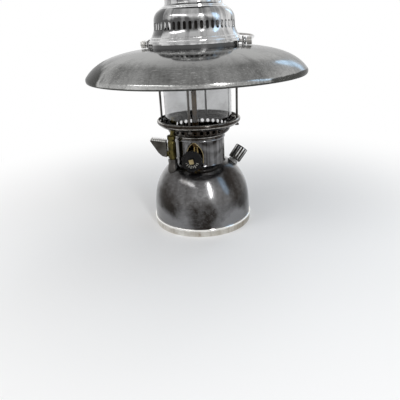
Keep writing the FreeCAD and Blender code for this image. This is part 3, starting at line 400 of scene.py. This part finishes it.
softWear = {"scale": 70.0, "detail": 5.0, "stops": [(0.42, 0), (0.72, 1)]}
softGrain = {"scale": 1400.0, "detail": 3.0}
softRelief = {"roughened": 0.15, "strength": 0.25, "depth": 0.0001}
softLooks = {
    "leather_cup": {"colour": (0.24, 0.14, 0.07), "worn": (0.12, 0.07, 0.04), "rough": 0.55},
    "rubber_gasket": {"colour": (0.025, 0.025, 0.025), "worn": (0.06, 0.06, 0.055), "rough": 0.70},
    "dial_face": {"colour": (0.86, 0.86, 0.82), "worn": (0.66, 0.62, 0.52), "rough": 0.40},
    "needle_black": {"colour": (0.02, 0.02, 0.02), "worn": (0.07, 0.06, 0.05), "rough": 0.45},
    "white_clay": {"colour": (0.84, 0.80, 0.72), "worn": (0.42, 0.37, 0.31), "rough": 0.85},
    "black_moulding": {"colour": (0.003, 0.003, 0.0035), "worn": (0.012, 0.011, 0.010), "rough": 0.26,
                       "sheen": 0.14},
    "wheel_paint": {"colour": (0.36, 0.35, 0.31), "worn": (0.06, 0.055, 0.05), "rough": 0.6}}


# Leather, rubber, clay, moulded plastic and paint, each with patches of wear and a fine grain.
def softFinish(name, look):
    shader = newShader(name)
    wear = shader.mask(shader.place(), **softWear)
    grain = shader.noise(shader.place(), **softGrain)
    base = shader.blend(wear, colour(look["colour"]), colour(look["worn"]))
    return shader.principled(
        {"Base Color": base, "Roughness": look["rough"] + wear * softRelief["roughened"],
         "Specular IOR Level": look.get("sheen", 0.5)},
        shader.bump(grain, softRelief["strength"], softRelief["depth"]))


weaveLooks = {
    "mantle_weave": {"colour": (0.92, 0.91, 0.87), "shadow": (0.70, 0.68, 0.63), "mesh": 1100.0,
                     "hole": [(0.05, 1), (0.30, 0)], "rough": 0.95, "relief": 0.6, "depth": 0.0002}}


def weaveFinish(name, look):
    shader = newShader(name)
    cells = shader.node("ShaderNodeTexVoronoi", {"feature": "DISTANCE_TO_EDGE"},
                        {"Vector": shader.place(), "Scale": look["mesh"]})
    hole = shader.ramp(cells, look["hole"])
    base = shader.blend(1 - hole, colour(look["shadow"]), colour(look["colour"]))
    return shader.principled({"Base Color": base, "Roughness": look["rough"]},
                             shader.bump(hole, look["relief"], look["depth"]))


finishes = {}
for makeFinish, looks in ((metalFinish, metals), (glassFinish, glassLooks), (softFinish, softLooks),
                          (weaveFinish, weaveLooks)):
    for name, look in looks.items():
        finishes[name] = makeFinish(name, look)

# Nodes whose finish differs from the rest of their slot.
ownFinish = {"foot_ring": "nickel_foot", "pump_knob": "knob_nickel", "pump_cap": "dark_nickel",
             "pump_flange": "dark_nickel", "preheater_base": "darkened_nickel",
             "gauge_glass": "gauge_glass"}
for part in frame["record"]["subparts"]:
    for holder in frame["nodes"][part["node"]].material_slots:
        holder.material = finishes[ownFinish.get(part["node"], part["material_slot"])]
print("finishes", len(finishes))


def choose(pieces):
    bpy.ops.object.select_all(action="DESELECT")
    for piece in pieces:
        piece.select_set(True)
    bpy.context.view_layer.objects.active = pieces[0]


# Pieces modelled by hand: a primitive, its edits, then modifiers that are applied.
def begin(adder, name, **options):
    bpy.ops.object.select_all(action="DESELECT")
    adder(**options)
    piece = bpy.context.active_object
    piece.name = name
    return piece


def applied(piece, kind, **settings):
    modifier = piece.modifiers.new(kind.lower(), kind)
    for key, value in settings.items():
        setattr(modifier, key, value)
    bpy.context.view_layer.objects.active = piece
    bpy.ops.object.modifier_apply(modifier=modifier.name)


def joined(pieces, name):
    choose(pieces)
    bpy.ops.object.join()
    pieces[0].name = name
    return pieces[0]


# Puts the piece's place in its mesh, turns its faces outwards and gives it its finish and its body.
def settled(piece, slot, body, angle, finish=None):
    choose([piece])
    bpy.ops.object.transform_apply(location=True, rotation=True, scale=True)
    bpy.ops.object.mode_set(mode="EDIT")
    bpy.ops.mesh.select_all(action="SELECT")
    bpy.ops.mesh.normals_make_consistent(inside=False)
    bpy.ops.object.mode_set(mode="OBJECT")
    bpy.ops.object.shade_smooth_by_angle(angle=math.radians(angle))
    piece.data.materials.clear()
    piece.data.materials.append(finishes[finish or slot])
    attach(piece, body)


blockEdge = 0.22  # the bevel as a share of the block's thinnest side


# A small block with rounded edges, its middle at the place's origin.
def block(place, size, name):
    piece = begin(bpy.ops.mesh.primitive_cube_add, name, size=1.0)
    for vertex in piece.data.vertices:
        vertex.co = Vector([half * length for half, length in zip(vertex.co, size)])
    applied(piece, "BEVEL", width=min(size) * blockEdge, segments=2)
    piece.data.transform(place)
    return piece


def numeral(place, value, size, depth, name):
    piece = begin(bpy.ops.object.text_add, name)
    piece.data.body = value
    piece.data.size = size
    piece.data.extrude = depth
    piece.data.align_x = "CENTER"
    piece.data.align_y = "CENTER"
    bpy.ops.object.convert(target="MESH")
    piece = bpy.context.active_object
    piece.data.transform(place)
    return piece


# A place whose Z points along a direction, turned from +Z the shortest way.
def facing(origin, direction):
    turn = Vector((0, 0, 1)).rotation_difference(Vector(direction))
    return Matrix.Translation(Vector(origin)) @ turn.to_matrix().to_4x4()


def around(degrees):
    return Matrix.Rotation(math.radians(degrees), 4, "Z")


# Worn pale marks on the lower half of the hand wheel: plain numerals between short bars.
wheelMarks = {"face": (0, -0.0618, 0.1226), "ring": 0.0096, "count": 8, "first": 200, "step": 20,
              "lift": 0.0002, "size": 0.0048, "depth": 0.0004, "bar": (0.0050, 0.0009, 0.0007)}


def makeWheelMarks(look):
    face = Matrix.Translation(Vector(look["face"])) @ Matrix.Rotation(math.radians(90), 4, "X")
    out = Matrix.Translation((look["ring"], 0, look["lift"]))
    marks = []
    for i in range(look["count"]):
        at = face @ around(look["first"] + look["step"] * i) @ out
        if i % 2:
            marks.append(block(at, look["bar"], "wheelBar"))
        else:
            value = str(i // 2 + 1)
            marks.append(numeral(at @ around(90), value, look["size"], look["depth"], "wheelNumeral"))
    settled(joined(marks, "wheelMarks"), "dial_face", "wheel", 30, "wheel_paint")


# Scale on the gauge's dial: ticks over the hand's travel, with a numeral at each long one.
dialScale = {"ticks": 21, "longEvery": 5, "sweep": 250, "upright": -170, "face": 0.01262,
             "outer": 0.0112, "short": 0.0014, "long": 0.0026, "width": 0.0003, "bold": 1.6,
             "thick": 0.0001, "numeral": 0.0034, "numeralAt": 0.0070, "depth": 0.00005}


def makeDialScale(look):
    foot, axis = leaning(gaugeSeat)
    face = facing(foot + axis * look["face"], axis)
    marks = []
    for i in range(look["ticks"]):
        turn = -look["sweep"] * i / (look["ticks"] - 1)
        isLong = i % look["longEvery"] == 0
        length = look["long"] if isLong else look["short"]
        width = look["width"] * (look["bold"] if isLong else 1.0)
        at = face @ around(turn)
        marks.append(block(at @ Matrix.Translation((look["outer"] - length / 2, 0, 0)),
                           (length, width, look["thick"]), "tick"))
        if isLong:
            middle = Matrix.Translation((look["numeralAt"], 0, 0)) @ around(look["upright"] - turn)
            value = str(i // look["longEvery"])
            marks.append(numeral(at @ middle, value, look["numeral"], look["depth"], "dialNumeral"))
    settled(joined(marks, "dialScale"), "needle_black", "filler", 30)


# The middle of the circle through three points.
def circleMiddle(a, b, c):
    across = 2 * (a.x * (b.y - c.y) + b.x * (c.y - a.y) + c.x * (a.y - b.y))
    aa, bb, cc = a.length_squared, b.length_squared, c.length_squared
    return Vector(((aa * (b.y - c.y) + bb * (c.y - a.y) + cc * (a.y - b.y)) / across,
                   (aa * (c.x - b.x) + bb * (a.x - c.x) + cc * (b.x - a.x)) / across))


# Rolled edge round the collar's pointed arch. Each side is upright as far as the spring, and then one
# arc over the haunch to the tip.
archRim = {"half": 0.0137, "low": 0.1135, "spring": 0.126, "tip": 0.1473, "haunchOut": 2 / 3,
           "haunchUp": 0.6, "wall": 0.0419, "wire": 0.0008, "rings": 5, "steps": 40}


def makeArchRim(look):
    spring = Vector((look["half"], look["spring"]))
    haunch = Vector((look["half"] * look["haunchOut"],
                     look["spring"] + look["haunchUp"] * (look["tip"] - look["spring"])))
    tip = Vector((0, look["tip"]))
    middle = circleMiddle(spring, haunch, tip)
    radius = (spring - middle).length
    first = math.atan2(spring.y - middle.y, spring.x - middle.x)
    last = math.atan2(tip.y - middle.y, tip.x - middle.x)
    right = [(look["half"], look["low"])]
    for i in range(look["steps"] + 1):
        turn = first + (last - first) * i / look["steps"]
        right.append((middle.x + radius * math.cos(turn), middle.y + radius * math.sin(turn)))
    outline = right + [(-x, z) for x, z in reversed(right[:-1])]
    path = bpy.data.curves.new("archRim", "CURVE")
    path.dimensions = "3D"
    path.bevel_depth = look["wire"]
    path.bevel_resolution = look["rings"]
    path.use_fill_caps = True
    line = path.splines.new("POLY")
    line.points.add(len(outline) - 1)
    for point, (x, z) in zip(line.points, outline):
        point.co = (x, -math.sqrt(look["wall"] ** 2 - x * x), z, 1)
    rim = bpy.data.objects.new("archRim", path)
    bpy.context.scene.collection.objects.link(rim)
    choose([rim])
    bpy.ops.object.convert(target="MESH")
    settled(bpy.context.active_object, "nickel_fittings", "frame", 60, "brass_nut")


# Bright crests on the ribs of the preheater lever's thumb pad, which rises from its foot outwards:
# painted highlights along the ribs.
leverCrestHighlights = {"radius": 0.0525, "azimuth": 222.0, "turn": 190, "count": 8, "first": 0.0114,
               "step": 0.0030, "foot": (0.0082, 0.1494), "rise": 4.2 / 25.3, "crest": 0.00118,
               "width": 0.0163, "sides": 20, "edge": 0.0003}


def makeLeverCrestHighlights(look):
    azimuth, radius = math.radians(look["azimuth"]), look["radius"]
    lever = Matrix.Translation((radius * math.cos(azimuth), radius * math.sin(azimuth), 0))
    footOut, footHeight = look["foot"]
    crests = []
    for i in range(look["count"]):
        out = look["first"] + look["step"] * i
        height = footHeight + (out - footOut) * look["rise"]
        crest = begin(bpy.ops.mesh.primitive_cylinder_add, "crest", vertices=look["sides"],
                      radius=look["crest"], depth=look["width"])
        applied(crest, "BEVEL", width=look["edge"], segments=2, limit_method="ANGLE")
        crest.data.transform(lever @ around(look["turn"]) @ Matrix.Translation((out, 0, height))
                             @ Matrix.Rotation(math.radians(90), 4, "X"))
        crests.append(crest)
    settled(joined(crests, "leverCrestHighlights"), "nickel_fittings", "lever", 40)


# The mantle: a gathered gauze bag. Its profile runs from the foot to the fold under the clay nozzle.
mantleBag = {"profile": [(0.0, 0.2303), (0.0050, 0.2316), (0.0108, 0.2348), (0.0146, 0.2400),
                         (0.0166, 0.2455), (0.0179, 0.2580), (0.0171, 0.2700), (0.0150, 0.2775),
                         (0.0133, 0.2800), (0.0123, 0.2813), (0.0136, 0.2822)],
             "round": 104, "along": 60, "pleats": 26, "gather": 0.0005, "gatherTop": 0.022,
             "gatherFoot": 0.020, "crumple": 0.0004, "crumpleRound": 3, "crumpleAlong": 160,
             "calmFoot": 0.004, "merge": 0.00001, "thickness": 0.0004}
mantleTie = {"height": 0.2812, "radius": 0.0127, "cord": 0.0006, "round": 72, "section": 10}


def makeMantleBag(look):
    bag = begin(bpy.ops.mesh.primitive_grid_add, "mantleBag", x_subdivisions=look["round"],
                y_subdivisions=look["along"], size=1.0)
    profile = look["profile"]
    lengths = [0.0]
    for (r0, z0), (r1, z1) in zip(profile, profile[1:]):
        lengths.append(lengths[-1] + math.hypot(r1 - r0, z1 - z0))
    for vertex in bag.data.vertices:
        turn = (vertex.co.x + 0.5) * 2 * math.pi
        way = (vertex.co.y + 0.5) * lengths[-1]
        i = sum(length <= way for length in lengths[1:-1])
        share = (way - lengths[i]) / (lengths[i + 1] - lengths[i])
        radius = profile[i][0] + (profile[i + 1][0] - profile[i][0]) * share
        z = profile[i][1] + (profile[i + 1][1] - profile[i][1]) * share
        top = max(0.0, 1 - abs(way - lengths[-1]) / look["gatherTop"])
        foot = max(0.0, 1 - way / look["gatherFoot"])
        pleat = look["gather"] * (top + foot) * (math.cos(turn * look["pleats"]) - 1)
        spot = Vector((math.cos(turn) * look["crumpleRound"], math.sin(turn) * look["crumpleRound"],
                       z * look["crumpleAlong"]))
        shift = pleat + noise.noise(spot) * look["crumple"] - look["crumple"]
        radius = max(0.0, radius + shift * min(1.0, radius / look["calmFoot"]))
        vertex.co = (radius * math.cos(turn), radius * math.sin(turn), z)
    bpy.ops.object.mode_set(mode="EDIT")
    bpy.ops.mesh.select_all(action="SELECT")
    bpy.ops.mesh.remove_doubles(threshold=look["merge"])
    bpy.ops.object.mode_set(mode="OBJECT")
    applied(bag, "SUBSURF", levels=1)
    applied(bag, "SOLIDIFY", thickness=look["thickness"], offset=-1)
    settled(bag, "mantle_weave", "frame", 60)
    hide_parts("mantle")


def makeMantleTie(look):
    cord = begin(bpy.ops.mesh.primitive_torus_add, "mantleTie", location=(0, 0, look["height"]),
                 major_radius=look["radius"], minor_radius=look["cord"],
                 major_segments=look["round"], minor_segments=look["section"])
    settled(cord, "mantle_weave", "frame", 60)


makeWheelMarks(wheelMarks)
makeDialScale(dialScale)
makeArchRim(archRim)
makeLeverCrestHighlights(leverCrestHighlights)
makeMantleBag(mantleBag)
makeMantleTie(mantleTie)
print("pieces")


# 1 where the camera sees a surface, straight or by way of metal or glass, and 0 for the light it gives.
def seenDirectly(shader):
    camera, glossy, through = shader.node("ShaderNodeLightPath", out=(
        "Is Camera Ray", "Is Glossy Ray", "Is Transmission Ray"))
    return camera.larger(glossy).larger(through)


# A pale floor that fades to white.
floorLook = {"size": 12.0, "colour": (0.86, 0.86, 0.86), "rough": 0.8, "sheen": 0.2,
             "fadeFrom": 0.16, "fadeTo": 0.70}


def makeFloor(look):
    floor = begin(bpy.ops.mesh.primitive_plane_add, "floor", size=look["size"], location=(0, 0, 0))
    shader = newShader("floorPaper")
    length = shader.vector("LENGTH", {0: shader.place()}, "Value")
    far = shader.step(length, look["fadeFrom"], look["fadeTo"])
    paper = shader.node("ShaderNodeBsdfPrincipled", None, {
        "Base Color": colour(look["colour"]), "Roughness": look["rough"],
        "Specular IOR Level": look["sheen"]})
    white = shader.node("ShaderNodeEmission", None, {"Color": colour((1, 1, 1)), "Strength": 1.0})
    seen = far * seenDirectly(shader)
    surface = shader.node("ShaderNodeMixShader", None, {0: seen, 1: paper, 2: white})
    floor.data.materials.append(shader.finish(surface))


# White from the horizon to well above the lantern, then grey overhead.
worldLook = {"light": 0.55, "overhead": 0.50, "whiteTo": 0.35, "greyFrom": 0.85}


def makeWorld(look):
    shader = Shader(bpy.data.worlds.new("studio"))
    up = shader.axes(shader.node("ShaderNodeTexCoord", out="Generated"))[2]
    shown = shader.step(up, look["whiteTo"], look["greyFrom"], 1.0, look["overhead"])
    strength = look["light"] + seenDirectly(shader) * (shown - look["light"])
    background = shader.node("ShaderNodeBackground", None, {
        "Color": colour((1, 1, 1)), "Strength": strength})
    bpy.context.scene.world = shader.finish(background, "ShaderNodeOutputWorld")


# Soft oval lamps. The ones that aren't shown give light but no highlight.
lamps = [
    {"name": "tallStrip", "place": (0.86, -1.23, 0.95), "size": (0.22, 1.2), "power": 9.0},
    {"name": "coolStrip", "place": (1.5, -0.3, 0.9), "size": (0.50, 1.3), "power": 2.1, "cool": True},
    {"name": "coolBack", "place": (0.75, 1.45, 0.95), "size": (0.30, 0.8), "power": 0.9, "cool": True},
    {"name": "longLeft", "place": (-0.9, -1.2, 1.5), "size": (1.7, 0.22), "power": 5.0},
    {"name": "softLeft", "place": (-1.2, -1.0, 1.5), "size": (0.9, 0.9), "power": 6.0, "shown": False},
    {"name": "softBack", "place": (0.4, 1.5, 1.6), "size": (1.0, 1.0), "power": 6.0, "shown": False}]
coolLight = (0.36, 0.66, 1.0)
lampAim = Vector((0, 0, 0.2))


def makeLamp(look):
    light = bpy.data.lights.new(look["name"], "AREA")
    light.shape = "ELLIPSE"
    light.size, light.size_y = look["size"]
    light.energy = look["power"]
    light.color = coolLight if look.get("cool") else (1, 1, 1)
    lamp = bpy.data.objects.new(look["name"], light)
    bpy.context.scene.collection.objects.link(lamp)
    lamp.location = look["place"]
    lamp.rotation_euler = (lampAim - lamp.location).to_track_quat("-Z", "Y").to_euler()
    lamp.visible_glossy = look.get("shown", True)
    lamp.visible_camera = False
    lamp.visible_transmission = False


makeFloor(floorLook)
makeWorld(worldLook)
for lamp in lamps:
    makeLamp(lamp)
print("stage", len(lamps))


cameraView = {"place": (0.1518, -0.6574, 0.3155), "ahead": (-0.2130, 0.8962, -0.3891),
              "roll": -2.79, "lens": 36.49, "sensor": 36.0, "nearest": 0.01}


def makeCamera(view):
    lens = bpy.data.cameras.new("camera")
    lens.lens = view["lens"]
    lens.sensor_width = view["sensor"]
    lens.clip_start = view["nearest"]
    camera = bpy.data.objects.new("camera", lens)
    bpy.context.scene.collection.objects.link(camera)
    ahead = Vector(view["ahead"]).normalized()
    side = ahead.cross(Vector((0, 0, 1))).normalized()
    above = side.cross(ahead)
    turn = math.radians(view["roll"])
    right = side * math.cos(turn) + above * math.sin(turn)
    up = above * math.cos(turn) - side * math.sin(turn)
    axes = Matrix((right, up, -ahead)).transposed().to_4x4()
    camera.matrix_world = Matrix.Translation(Vector(view["place"])) @ axes
    bpy.context.scene.camera = camera


makeCamera(cameraView)
bpy.context.scene.view_settings.view_transform = "Standard"
print("camera")
